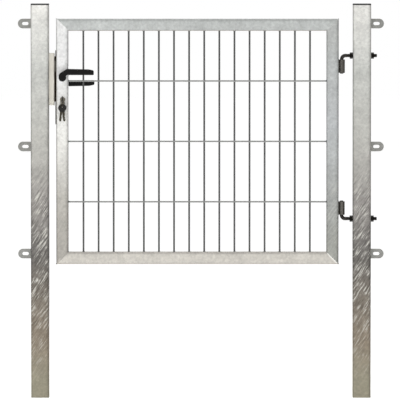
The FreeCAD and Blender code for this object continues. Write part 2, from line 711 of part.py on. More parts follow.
def key_blade():
    """A blade with its cuts along the lower edge, lying along +Y from the head at y = 0."""
    length = BLADE_OUTSIDE + BLADE_INSIDE
    root = HEAD_RADIUS / 2
    half = BLADE_HEIGHT / 2
    points = [(-root, half), (length - BLADE_TIP, half), (length, half - BLADE_TIP)]
    points.append((length, BLADE_TIP_UNDER - half))
    for n, depth in enumerate(CUT_DEPTHS):
        start = length - FIRST_CUT - n * CUT_PITCH
        for step, rise in ((0, 0), (1, depth), (2, depth), (3, 0)):
            points.append((start - step * CUT_PITCH / 4, rise - half))
    points.append((-root, -half))
    corners = [Vector(-BLADE_THICKNESS / 2, y, z) for y, z in points]
    return Part.Face(Part.makePolygon(corners + corners[:1])).extrude(Vector(BLADE_THICKNESS, 0, 0))


def key_head():
    """The moulded head round the blade's root, with an eye for the ring."""
    half = HEAD_THICKNESS / 2
    head = rod(HEAD_RADIUS, (-half, -HEAD_RADIUS, 0), (half, -HEAD_RADIUS, 0))
    neck_height = BLADE_HEIGHT + 2 * NECK_OVER_BLADE
    neck = block((-half, half), (-HEAD_RADIUS, NECK_ALONG_BLADE), centred(0, neck_height))
    eye_y = -(HEAD_RADIUS + EYE_OFFSET)
    eye = rod(HEAD_EYE, (-half, eye_y, 0), (half, eye_y, 0))
    return head.fuse(neck).removeSplitter().cut(eye).cut(key_blade())


def in_the_lock(shape):
    placed = shape.copy()
    placed.translate(Vector(SPINDLE_X, -(CYLINDER_HALF + BLADE_OUTSIDE), CYLINDER_Z))
    return placed


def spare_key(shape, side):
    """The same key hanging on the ring, flat to the front; side is -1 or +1."""
    hung = shape.copy()
    hung.translate(Vector(0, HEAD_RADIUS + EYE_OFFSET, 0))
    hung = turned(hung, -90, Vector(1, 0, 0))
    hung = turned(hung, 90, Vector(0, 0, 1))
    hung = turned(hung, -side * SPARE_LEAN)
    step = side * (HEAD_THICKNESS + SPARE_GAP) / 2
    ring_bottom = RING_Z - RING_RADIUS
    hung.translate(Vector(SPINDLE_X + step, EYE_Y + step, ring_bottom - RING_WIRE))
    return hung


def key_ring():
    """A plain ring on a slant, through the eye of the key in the lock and those of the spare keys."""
    ring = Part.makeTorus(RING_RADIUS, RING_WIRE, Vector(0, 0, 0), Vector(0, 1, 0))
    ring = turned(ring, 45, Vector(0, 0, 1))
    ring.translate(Vector(SPINDLE_X, EYE_Y, RING_Z))
    return ring


# --- keeper ---
def keeper():
    """A folded channel on the lock post, with windows for the latch and the dead bolt."""
    x = (LOCK_FACE, KEEPER_FACE)
    y = (-LEAF_HALF, KEEPER_BACK)
    z = centred(KEEPER_Z, KEEPER_HEIGHT)
    channel = block(x, y, z)
    folds = [e for e in edges_along(channel, Vector(0, 0, 1)) if e.CenterOfMass.x > KEEPER_FACE - 0.01]
    channel = channel.makeFillet(KEEPER_SHEET, folds)
    inside = (y[0] + KEEPER_SHEET, y[1] - KEEPER_SHEET)
    channel = channel.cut(block((x[0], x[1] - KEEPER_SHEET), inside, z))
    latch_window = (LATCH_Z, LATCH_HEIGHT, LATCH_THICKNESS)
    bolt_window = (BOLT_Z, BOLT_HEIGHT, BOLT_THICKNESS)
    for middle, height, thickness in (latch_window, bolt_window):
        window_y = centred(0, thickness + 2 * WINDOW_CLEARANCE)
        window_z = centred(middle, height + 2 * WINDOW_CLEARANCE)
        channel = channel.cut(block((x[1] - KEEPER_SHEET - PAST, x[1] + PAST), window_y, window_z))
    return channel


def stop_bar():
    """A flat bar behind the lock stile that the leaf closes against."""
    x = (LOCK_FACE + STOP_BAR_INSET, STOP_BAR_RIGHT)
    y = (KEEPER_BACK, KEEPER_BACK + STOP_BAR_THICKNESS)
    bar = block(x, y, centred(KEEPER_Z, STOP_BAR_LENGTH))
    free_corners = [e for e in edges_along(bar, Vector(0, 1, 0)) if e.CenterOfMass.x > x[1] - 0.01]
    return bar.makeFillet(STOP_BAR_CORNER, free_corners)


def stop_buffer():
    right = STOP_BAR_RIGHT - BUFFER_INSET
    y = (KEEPER_BACK - BUFFER_THICKNESS, KEEPER_BACK)
    pad = block((right - BUFFER_WIDTH, right), y, centred(KEEPER_Z, BUFFER_LENGTH))
    return round_along(pad, BUFFER_CORNER, Vector(0, 1, 0))


def build():
    """Every node's name and shape."""
    hooks = {"upper": (UPPER_HOOK_Z, -1), "lower": (LOWER_HOOK_Z, 1)}
    nodes = {
        "lock_post": post(LOCK_POST_X, []),
        "hinge_post": post(HINGE_POST_X, [UPPER_HOOK_Z, LOWER_HOOK_Z]),
        "lock_post_cap": post_cap(LOCK_POST_X),
        "hinge_post_cap": post_cap(HINGE_POST_X),
        "keeper": keeper(),
        "stop_bar": stop_bar(),
        "stop_buffer": stop_buffer(),
        "top_rail": rail(LEAF_TOP, LEAF_TOP - TUBE_SIDE),
        "bottom_rail": rail(LEAF_BOTTOM, LEAF_BOTTOM + TUBE_SIDE),
        "lock_stile": lock_stile(),
        "hinge_stile": stile(LEAF_RIGHT, LEAF_RIGHT - TUBE_SIDE),
        "bar_wires": bar_wires(),
        "cross_wires": cross_wires(),
        "lock_case": lock_case(),
        "lock_case_cover": lock_case_cover(),
        "lock_forend": lock_forend(),
        "latch_bolt": latch_bolt(),
        "latch_spring": latch_spring(),
        "dead_bolt": dead_bolt(),
        "follower": follower(),
        "spindle": spindle(),
        "front_handle": front_handle(),
        "rear_handle": other_side(front_handle()),
        "grub_screws": grub_screws(),
        "front_handle_bush": front_handle_bush(),
        "rear_handle_bush": other_side(front_handle_bush()),
        "cylinder_body": cylinder_body(),
        "cylinder_screw": countersunk_screw(CYLINDER_SCREW_Z, SPINDLE_X + CYLINDER_LEG),
        "front_plug": plug(-CYLINDER_HALF, -CAM_WIDTH / 2),
        "rear_plug": plug(CYLINDER_HALF, CAM_WIDTH / 2 + CAM_GAP),
        "cam": cam(),
        "key_blade": in_the_lock(key_blade()),
        "key_head": in_the_lock(key_head()),
        "spare_key_blades": Part.makeCompound([spare_key(key_blade(), side) for side in (-1, 1)]),
        "spare_key_heads": Part.makeCompound([spare_key(key_head(), side) for side in (-1, 1)]),
        "key_ring": key_ring(),
    }
    lug_drops = {"top": TOP_LUG_DROP, "middle": MIDDLE_LUG_DROP, "bottom": BOTTOM_LUG_DROP}
    for place, drop in lug_drops.items():
        nodes[f"lock_post_{place}_lug"] = fence_lug(-1, drop)
        nodes[f"hinge_post_{place}_lug"] = fence_lug(1, drop)
    for place, (hook_z, way) in hooks.items():
        nodes[f"{place}_hinge_sleeve"] = hinge_sleeve(hook_z, way)
        nodes[f"{place}_hook_bolt"] = hook_bolt(hook_z, way)
        nodes[f"{place}_hinge_nuts"] = hinge_nuts(hook_z)
    for place, height in zip(("lower", "upper"), forend_screw_heights()):
        nodes[f"{place}_forend_screw"] = countersunk_screw(height, FOREND_X + SCREW_LENGTH)
    return nodes


os.makedirs("parts", exist_ok=True)
for name, shape in build().items():
    shape.exportStep(f"parts/{name}.step")
    print(name, shape.isValid(), len(shape.Solids), round(shape.Volume))
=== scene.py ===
import math

import bmesh
import bpy
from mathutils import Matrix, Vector, noise


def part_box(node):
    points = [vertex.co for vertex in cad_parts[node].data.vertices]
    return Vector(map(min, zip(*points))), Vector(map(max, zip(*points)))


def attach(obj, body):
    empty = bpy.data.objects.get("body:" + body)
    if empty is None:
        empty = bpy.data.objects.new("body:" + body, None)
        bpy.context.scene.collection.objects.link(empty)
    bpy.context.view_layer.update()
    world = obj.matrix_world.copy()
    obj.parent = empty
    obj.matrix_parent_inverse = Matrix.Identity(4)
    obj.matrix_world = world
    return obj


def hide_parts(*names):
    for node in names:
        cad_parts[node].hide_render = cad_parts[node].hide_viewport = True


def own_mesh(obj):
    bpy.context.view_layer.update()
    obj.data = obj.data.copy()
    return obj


bl_info = {
    "name": "Garden Gate",
    "version": (1, 0, 0),
    "blender": (4, 5, 0),
    "location": "3D Viewport > Sidebar > Gate",
    "description": "Welds, threads and finishes for a galvanised garden gate",
    "category": "Object",
}

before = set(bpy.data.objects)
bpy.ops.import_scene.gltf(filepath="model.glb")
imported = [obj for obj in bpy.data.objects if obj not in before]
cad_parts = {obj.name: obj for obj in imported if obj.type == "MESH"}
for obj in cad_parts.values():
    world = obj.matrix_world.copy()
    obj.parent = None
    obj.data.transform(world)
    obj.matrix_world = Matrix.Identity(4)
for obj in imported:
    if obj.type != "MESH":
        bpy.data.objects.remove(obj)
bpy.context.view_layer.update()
MM = 0.001

# The mesh's standard spacing, from wire to wire, as in the CAD.
BAR_PITCH = 50 * MM
LEVEL_PITCH = 200 * MM
# Runs in the zinc: how far they lean, and over what heights they fade in and out.
RUN_LEAN = math.radians(-33)
RUN_FADE_BELOW, RUN_FADE_IN = 260 * MM, 50 * MM
RUN_FADE_ABOVE = 140 * MM
# Edges that turn by more than this are rounded on the small steel parts.
SHARP_ANGLE = math.radians(40)

LUGS = tuple(
    f"{side}_post_{place}_lug"
    for side in ("lock", "hinge")
    for place in ("top", "middle", "bottom")
)
SLEEVES = ("upper_hinge_sleeve", "lower_hinge_sleeve")
CAD_FINISHES = {
    "galvanised_lock_post": ("lock_post",),
    "galvanised_hinge_post": ("hinge_post",),
    "galvanised_lug_plate": LUGS,
    "galvanised_lock_stile": ("lock_stile",),
    "galvanised_hinge_stile": ("hinge_stile",),
    "galvanised_top_rail": ("top_rail",),
    "galvanised_bottom_rail": ("bottom_rail",),
    "galvanised_mesh_bar_wire": ("bar_wires",),
    "galvanised_mesh_cross_wire": ("cross_wires",),
    "galvanised_keeper_sheet": ("keeper",),
    "zinc_plated_hinge_sleeve": SLEEVES,
    "zinc_plated_hook_bolt": ("upper_hook_bolt", "lower_hook_bolt"),
    "black_zinc_nut_steel": ("upper_hinge_nuts", "lower_hinge_nuts"),
    "moulded_polyethylene_cap": ("lock_post_cap", "hinge_post_cap"),
    "moulded_nylon_handle": ("front_handle", "rear_handle"),
    "rolled_forend_steel": ("lock_forend", "stop_bar"),
    "pressed_lock_steel": (
        "lock_case", "lock_case_cover", "latch_bolt", "dead_bolt", "follower", "spindle", "cam",
    ),
    "zinc_plated_screw_steel": (
        "lower_forend_screw", "upper_forend_screw", "cylinder_screw", "grub_screws",
    ),
    "drawn_spring_wire": ("latch_spring",),
    "nickel_plated_cylinder": ("cylinder_body", "front_plug", "rear_plug"),
    "milled_nickel_silver_key": ("key_blade", "spare_key_blades", "key_ring"),
    "moulded_key_head": ("key_head", "spare_key_heads"),
    "moulded_nylon_bush": ("front_handle_bush", "rear_handle_bush"),
    "moulded_rubber_buffer": ("stop_buffer",),
}


def srgb(code):
    """Linear RGB from an sRGB hex code such as #a0b0c0."""
    channels = [int(code[n:n + 2], 16) / 255 for n in (1, 3, 5)]
    return tuple(c / 12.92 if c <= 0.04045 else ((c + 0.055) / 1.055) ** 2.4 for c in channels)


def length_prop(name, description, millimetres):
    """A length for the panel, with its default in millimetres."""
    return bpy.props.FloatProperty(
        name=name, description=description, default=millimetres * MM,
        min=0.0, subtype="DISTANCE", unit="LENGTH",
    )


def colour_prop(name, description, code):
    """A colour for the panel, with its default as a hex code."""
    return bpy.props.FloatVectorProperty(
        name=name, description=description, default=srgb(code),
        size=3, min=0.0, max=1.0, subtype="COLOR",
    )


class GateColours(bpy.types.PropertyGroup):
    """Colours of the finishes."""

    # The post colours by height are painted reflected light from the room and the ground, darker and browner
    # lower down.
    zinc_and_light_head: colour_prop("Zinc at the head", "Zinc at the top of the posts", "#f5f4ef")
    zinc_and_light_shoulder: colour_prop("Zinc at the shoulder", "Zinc of the posts beside the keeper", "#d4d5d0")
    zinc_and_light_chest: colour_prop("Zinc at the chest", "Zinc of the posts above the middle lugs", "#c6c5bf")
    zinc_and_light_waist: colour_prop("Zinc at the waist", "Zinc of the posts half way up", "#a29e9a")
    zinc_and_light_knee: colour_prop("Zinc at the knee", "Zinc of the posts beside the bottom rail", "#777470")
    zinc_and_light_shin: colour_prop("Zinc at the shin", "Zinc of the posts below the leaf", "#8e8374")
    zinc_and_light_foot: colour_prop("Zinc at the foot", "Zinc of the posts near the ground", "#948f7e")
    zinc_run: colour_prop("Zinc runs", "Bright diagonal runs left by the drained dip", "#d6d4cc")
    # The stile and rail colours are lit and shaded copies of one zinc: painted light, with a painted
    # highlight at the lock stile's head.
    lock_stile_head: colour_prop("Lock stile, head", "Zinc at the top of the lock stile", "#f7f7f6")
    lock_stile_lock: colour_prop("Lock stile, lock", "Zinc of the lock stile below the cylinder", "#f7f6f1")
    lock_stile_middle: colour_prop("Lock stile, middle", "Zinc of the lock stile half way down", "#c0bdb6")
    lock_stile_foot: colour_prop("Lock stile, foot", "Zinc at the foot of the lock stile", "#b6b2ab")
    hinge_stile_head: colour_prop("Hinge stile, head", "Zinc at the top of the hinge stile", "#c3c5c3")
    hinge_stile_middle: colour_prop("Hinge stile, middle", "Zinc half way up the hinge stile", "#c6c9ca")
    hinge_stile_foot: colour_prop("Hinge stile, foot", "Zinc at the foot of the hinge stile", "#a6a7a1")
    top_rail: colour_prop("Top rail", "Zinc of the top rail", "#cbcecc")
    bottom_rail: colour_prop("Bottom rail", "Zinc of the bottom rail", "#d1cdc5")
    lug_zinc: colour_prop("Lug zinc", "Zinc of the lugs", "#9a9a96")
    bar_wire_zinc: colour_prop("Upright wire zinc", "Zinc of the upright wires", "#636463")
    # The cross wires are drawn lighter than the upright wires as a painted highlight from the light above.
    lit_cross_wire_zinc: colour_prop("Cross wire zinc", "Zinc of the cross wires", "#8b8c8a")
    weld_zinc: colour_prop("Weld zinc", "Zinc over the welds", "#e2e1dc")
    keeper_zinc: colour_prop("Keeper zinc", "Zinc of the folded keeper", "#dedacf")
    sleeve_zinc: colour_prop("Sleeve zinc", "Zinc plate of the hinge sleeves", "#6d6a65")
    hook_zinc: colour_prop("Hook zinc", "Zinc plate of the hook bolts", "#3b3936")
    nut_zinc: colour_prop("Nut zinc", "Black zinc plate of the nuts", "#1d1c1a")
    # Painted shade: the forend and the stop bar are drawn dark brown to stand for the shaded gap between the
    # keeper and the lock stile.
    forend_steel: colour_prop("Forend steel", "Rolled steel of the forend and the stop bar", "#2a201a")
    lock_steel: colour_prop("Lock steel", "Plated steel inside the lock", "#9c9a94")
    nickel: colour_prop("Nickel", "Nickel plate on the cylinder", "#8f8a7d")
    key_metal: colour_prop("Key metal", "Nickel silver of the keys", "#4f4b42")
    # Painted reflection of the brown ground, laid on faces that look down.
    underside: colour_prop("Underside", "Dull brown film on faces that look down", "#6b5a4c")
    handle_black: colour_prop("Handle black", "Nylon of the handles", "#060505")
    key_black: colour_prop("Key black", "Plastic of the key heads", "#14120f")
    cap_black: colour_prop("Cap black", "Polyethylene of the post caps", "#232323")
    rubber: colour_prop("Rubber", "Rubber of the buffer", "#1d1c1b")


class GateSizes(bpy.types.PropertyGroup):
    """Sizes of the welds, threads and surface patterns."""

    spangle: length_prop("Spangle", "Width of one zinc crystal on the tubes", 9.0)
    run_length: length_prop("Run length", "Length of a run in the zinc", 46.0)
    run_width: length_prop("Run width", "Width of a run in the zinc", 5.0)
    # The corner bands are widths of painted shade beside the tubes' corners.
    corner_band_low: length_prop(
        "Corner band, left", "Width of the duller zinc beside a left or lower corner", 7.0
    )
    corner_band_high: length_prop(
        "Corner band, right", "Width of the duller zinc beside a right or upper corner", 13.0
    )
    bead_width: length_prop("Bead width", "Width of a weld bead", 5.0)
    bead_height: length_prop("Bead height", "Height of a weld bead", 1.6)
    bead_ripple: length_prop("Bead ripple", "Distance between the ripples of a weld bead", 2.0)
    seam_height: length_prop("Mitre seam height", "Height of the dressed welds across the mitres", 0.5)
    thread_pitch: length_prop("Thread pitch", "Pitch of the thread on the hook bolts", 1.75)
    thread_depth: length_prop("Thread depth", "Depth of the thread on the hook bolts", 0.9)
    spring_wire: length_prop("Spring wire", "Thickness of the latch spring's wire", 0.8)
    spring_pitch: length_prop("Spring pitch", "Distance between the turns of the latch spring", 3.6)
    edge: length_prop("Edge round", "Rounding of the small steel parts' edges", 0.5)


class GateStage(bpy.types.PropertyGroup):
    """Camera, floor and lights."""

    distance: length_prop("Camera distance", "From the camera to the middle plane of the gate", 18000.0)
    view_width: length_prop("View width", "Width that the view takes in at the gate", 1325.2)
    view_height: length_prop("View height", "Height above the ground of the view's middle", 654.6)
    sideways: length_prop("Camera offset", "How far the camera stands left of the middle", 3.0)
    tilt: bpy.props.FloatProperty(
        name="Camera tilt", description="How far the camera looks down",
        default=math.radians(2.5), subtype="ANGLE",
    )
    floor: colour_prop("Floor", "Pale studio floor", "#f4f4f4")
    key_power: bpy.props.FloatProperty(
        name="Key light", description="Power of the soft light at the upper left", default=45.0, unit="POWER"
    )
    top_power: bpy.props.FloatProperty(
        name="Top light", description="Power of the soft light overhead", default=200.0, unit="POWER"
    )


# --- materials ---
def add_node(tree, kind, inputs=None, **settings):
    """Adds a node, sets its properties, and fills its sockets with values or links."""
    node = tree.nodes.new(kind)
    for name, value in settings.items():
        setattr(node, name, value)
    for name, value in (inputs or {}).items():
        if isinstance(value, bpy.types.NodeSocket):
            tree.links.new(value, node.inputs[name])
        else:
            node.inputs[name].default_value = value
    return node


def start_material(name, **shader):
    """A material with its Principled shader's constants set, and its object coordinates."""
    material = bpy.data.materials.new(name)
    material.use_nodes = True
    tree = material.node_tree
    tree.nodes.clear()
    constants = {socket.replace("_", " "): value for socket, value in shader.items()}
    principled = add_node(tree, "ShaderNodeBsdfPrincipled", constants)
    add_node(tree, "ShaderNodeOutputMaterial", {"Surface": principled.outputs[0]})
    place = add_node(tree, "ShaderNodeTexCoord").outputs["Object"]
    return material, tree, principled, place


def mottled(tree, colour, pattern, low, high):
    """A colour made darker and lighter by a pattern, between two factors."""
    spread = {"Value": pattern, "To Min": low, "To Max": high}
    factor = add_node(tree, "ShaderNodeMapRange", spread).outputs["Result"]
    inputs = {0: colour, "Scale": factor}
    return add_node(tree, "ShaderNodeVectorMath", inputs, operation="SCALE").outputs["Vector"]


def uneven_gloss(tree, principled, pattern, low, high):
    """Roughness that wanders between two values with a pattern."""
    spread = {"Value": pattern, "To Min": low, "To Max": high}
    roughness = add_node(tree, "ShaderNodeMapRange", spread).outputs["Result"]
    tree.links.new(roughness, principled.inputs["Roughness"])


def grain(tree, place, size, detail=3.0, roughness=0.55, stretch=(1, 1, 1)):
    """Noise whose features are about the size given in metres."""
    scale = tuple(s / size for s in stretch)
    scaled = add_node(tree, "ShaderNodeMapping", {"Vector": place, "Scale": scale}).outputs["Vector"]
    settings = {"Vector": scaled, "Scale": 1.0, "Detail": detail, "Roughness": roughness}
    return add_node(tree, "ShaderNodeTexNoise", settings).outputs["Fac"]


def roughened(tree, principled, height, distance, strength):
    """Fine relief from a pattern, as deep as the distance given in metres."""
    relief = {"Height": height, "Distance": distance, "Strength": strength}
    normal = add_node(tree, "ShaderNodeBump", relief).outputs["Normal"]
    tree.links.new(normal, principled.inputs["Normal"])


def painted_ground_reflection(tree, colour, reflected_ground):
    """Painted reflection of the brown ground on the faces that look at the ground; it fades in as a face
    turns down.
    """
    normal = add_node(tree, "ShaderNodeNewGeometry").outputs["Normal"]
    down = add_node(tree, "ShaderNodeSeparateXYZ", {0: normal}).outputs["Z"]
    spread = {"Value": down, "From Min": -0.35, "From Max": -0.8, "To Min": 0.0, "To Max": 0.85}
    amount = add_node(tree, "ShaderNodeMapRange", spread).outputs["Result"]
    inputs = {0: amount, 6: colour, 7: (*reflected_ground, 1.0)}
    return add_node(tree, "ShaderNodeMix", inputs, data_type="RGBA").outputs[2]


def by_height(tree, place, stops):
    """A colour that changes with the height above the ground; stops are (metres, colour)."""
    top = stops[-1][0]
    height = add_node(tree, "ShaderNodeSeparateXYZ", {0: place}).outputs["Z"]
    share = add_node(tree, "ShaderNodeMath", {0: height, 1: top}, operation="DIVIDE").outputs[0]
    ramp = add_node(tree, "ShaderNodeValToRGB", {0: share})
    elements = ramp.color_ramp.elements
    while len(elements) < len(stops):
        elements.new(0.5)
    for element, (metres, colour) in zip(elements, stops):
        element.position = metres / top
        element.color = (*colour, 1.0)
    return ramp.outputs["Color"], height


def dip_runs(tree, place, height, low, high, sizes):
    """Amounts of bright diagonal runs and of dull zinc between them, on every side of a tube.

    Both fade in below the low height and out above the high one.
    """
    parts = add_node(tree, "ShaderNodeSeparateXYZ", {0: place}).outputs
    across = add_node(tree, "ShaderNodeMath", {0: parts["X"], 1: parts["Y"]}, operation="ADD").outputs[0]
    around = add_node(tree, "ShaderNodeCombineXYZ", {"X": across, "Z": parts["Z"]}).outputs[0]
    lean = {"Vector": around, "Rotation": (0, RUN_LEAN, 0)}
    turned = add_node(tree, "ShaderNodeMapping", lean).outputs["Vector"]
    stretch = (1, 1, sizes.run_width / sizes.run_length)
    streaks = grain(tree, turned, sizes.run_width, detail=3.0, roughness=0.7, stretch=stretch)
    patches = grain(tree, turned, sizes.run_length * 0.8, detail=2.0)
    # Each row is a pattern, the two values that it fades between, and its shares there.
    band = [
        (height, low - RUN_FADE_BELOW, low + RUN_FADE_IN, 0.0, 1.0),
        (height, high, high + RUN_FADE_ABOVE, 1.0, 0.06),
    ]
    bright = [(streaks, 0.51, 0.62, 0.0, 1.0), (patches, 0.4, 0.54, 0.0, 1.0), *band]
    dull = [(streaks, 0.5, 0.34, 0.0, 1.0), *band]
    amounts = []
    for rows in (bright, dull):
        amount = 1.0
        for pattern, start, end, first, last in rows:
            spread = {"Value": pattern, "From Min": start, "From Max": end, "To Min": first, "To Max": last}
            share = add_node(tree, "ShaderNodeMapRange", spread).outputs["Result"]
            product = {0: amount, 1: share}
            amount = add_node(tree, "ShaderNodeMath", product, operation="MULTIPLY").outputs[0]
        amounts.append(amount)
    return amounts


def painted_corner_shade(tree, place, tube, sizes):
    """How near a point is to a square tube's long corners, for the painted shade that darkens the zinc
    there.
    """
    low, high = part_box(tube)
    spans = high - low
    coordinates = add_node(tree, "ShaderNodeSeparateXYZ", {0: place}).outputs
    amount = 1.0
    for axis, name in enumerate("XYZ"):
        if spans[axis] == max(spans):
            continue
        nearness = []
        for edge, inward in (
            (low[axis], low[axis] + sizes.corner_band_low),
            (high[axis], high[axis] - sizes.corner_band_high),
        ):
            spread = {"Value": coordinates[name], "From Min": inward, "From Max": edge}
            nearness.append(add_node(tree, "ShaderNodeMapRange", spread).outputs["Result"])
        either = dict(enumerate(nearness))
        nearer = add_node(tree, "ShaderNodeMath", either, operation="MAXIMUM").outputs[0]
        product = {0: amount, 1: nearer}
        amount = add_node(tree, "ShaderNodeMath", product, operation="MULTIPLY").outputs[0]
    return add_node(tree, "ShaderNodeMath", {0: amount, 1: 2.0}, operation="POWER").outputs[0]


def galvanised_tube(name, tube, stops, runs, colours, sizes):
    """Mild steel tube dipped in molten zinc.

    The zinc freezes in crystals a few millimetres wide, each a slightly different grey, and drains off
    in diagonal runs that stay brighter. It is satin. Its colour by height is painted reflected light from
    the room
    and the ground: pale at the head, darker and browner towards the ground.
    The runs are (lowest height, highest height, strength).
    """
    material, tree, principled, place = start_material(name, Metallic=0.92)
    # The colour by height is painted reflected light, laid into the zinc's colour.
    colour, height = by_height(tree, place, stops)
    crystals = {"Vector": place, "Scale": 1 / sizes.spangle, "Randomness": 1.0}
    crystal_colours = add_node(tree, "ShaderNodeTexVoronoi", crystals).outputs["Color"]
    crystal = add_node(tree, "ShaderNodeSeparateColor", {0: crystal_colours}).outputs["Red"]
    cloud = grain(tree, place, 40 * MM, detail=4.0)
    fine = grain(tree, place, 9 * MM, detail=3.0, roughness=0.7)
    colour = mottled(tree, colour, crystal, 0.96, 1.04)
    colour = mottled(tree, colour, cloud, 0.8, 1.2)
    colour = mottled(tree, colour, fine, 0.68, 1.32)
    low, high, strength = runs
    bright, dull = dip_runs(tree, place, height, low, high, sizes)
    colour = mottled(tree, colour, dull, 1.0, 1.0 - 0.5 * strength)
    product = {0: bright, 1: strength}
    bright = add_node(tree, "ShaderNodeMath", product, operation="MULTIPLY").outputs[0]
    inputs = {0: bright, 6: colour, 7: (*colours.zinc_run, 1.0)}
    colour = add_node(tree, "ShaderNodeMix", inputs, data_type="RGBA").outputs[2]
    # Painted shade along the tubes' long corners, wider on the right and upper sides.
    colour = mottled(tree, colour, painted_corner_shade(tree, place, tube, sizes), 1.0, 0.4)
    # Painted reflection of the ground on the faces that look down.
    colour = painted_ground_reflection(tree, colour, colours.underside)
    tree.links.new(colour, principled.inputs["Base Color"])
    uneven_gloss(tree, principled, cloud, 0.32, 0.46)
    roughened(tree, principled, fine, 0.2 * MM, 0.25)
    return material


def plated_steel(name, colour, metallic, roughness, patch, contrast):
    """Steel with a thin zinc or rolled finish: an even grey, faintly clouded, with small handling marks.

    The clouds are as wide as the patch given in mm. The marks are under 1 mm across on real steel and are
    drawn at 1.5 mm so that they show.
    """
    material, tree, principled, place = start_material(name, Metallic=metallic)
    cloud = grain(tree, place, patch * MM, detail=4.0)
    fine = grain(tree, place, 1.5 * MM, detail=1.0)
    colour = mottled(tree, (*colour,), cloud, 1 - contrast, 1 + contrast)
    tree.links.new(colour, principled.inputs["Base Color"])
    uneven_gloss(tree, principled, cloud, *roughness)
    roughened(tree, principled, fine, 0.1 * MM, 0.1)
    return material


def moulded_plastic(name, colour, roughness, ior, pore, bump):
    """Thermoplastic from an eroded mould: one colour through, fine even grain, soft broad highlights.

    The mould's real grain is about 0.2 mm, too fine to show, so it is drawn at the pore size given in mm.
    """
    material, tree, principled, place = start_material(name, IOR=ior)
    pores = grain(tree, place, pore * MM, detail=1.0)
    wear = grain(tree, place, 20 * MM, detail=3.0)
    colour = mottled(tree, (*colour,), wear, 0.85, 1.2)
    tree.links.new(colour, principled.inputs["Base Color"])
    uneven_gloss(tree, principled, wear, roughness - 0.05, roughness + 0.08)
    roughened(tree, principled, pores, 0.05 * MM, bump)
    return material


def brushed_metal(name, colour, spacing):
    """Nickel-plated brass or nickel silver, ground or milled: fine parallel lines across the gate.

    Real tool marks are about 0.1 mm apart, too fine to show, so they are drawn at the spacing given in mm.
    """
    material, tree, principled, place = start_material(name, Metallic=1.0)
    lines = grain(tree, place, spacing * MM, detail=2.0, stretch=(0.03, 1, 1))
    colour = mottled(tree, (*colour,), lines, 0.8, 1.2)
    tree.links.new(colour, principled.inputs["Base Color"])
    uneven_gloss(tree, principled, lines, 0.22, 0.4)
    roughened(tree, principled, lines, 0.08 * MM, 0.3)
    return material


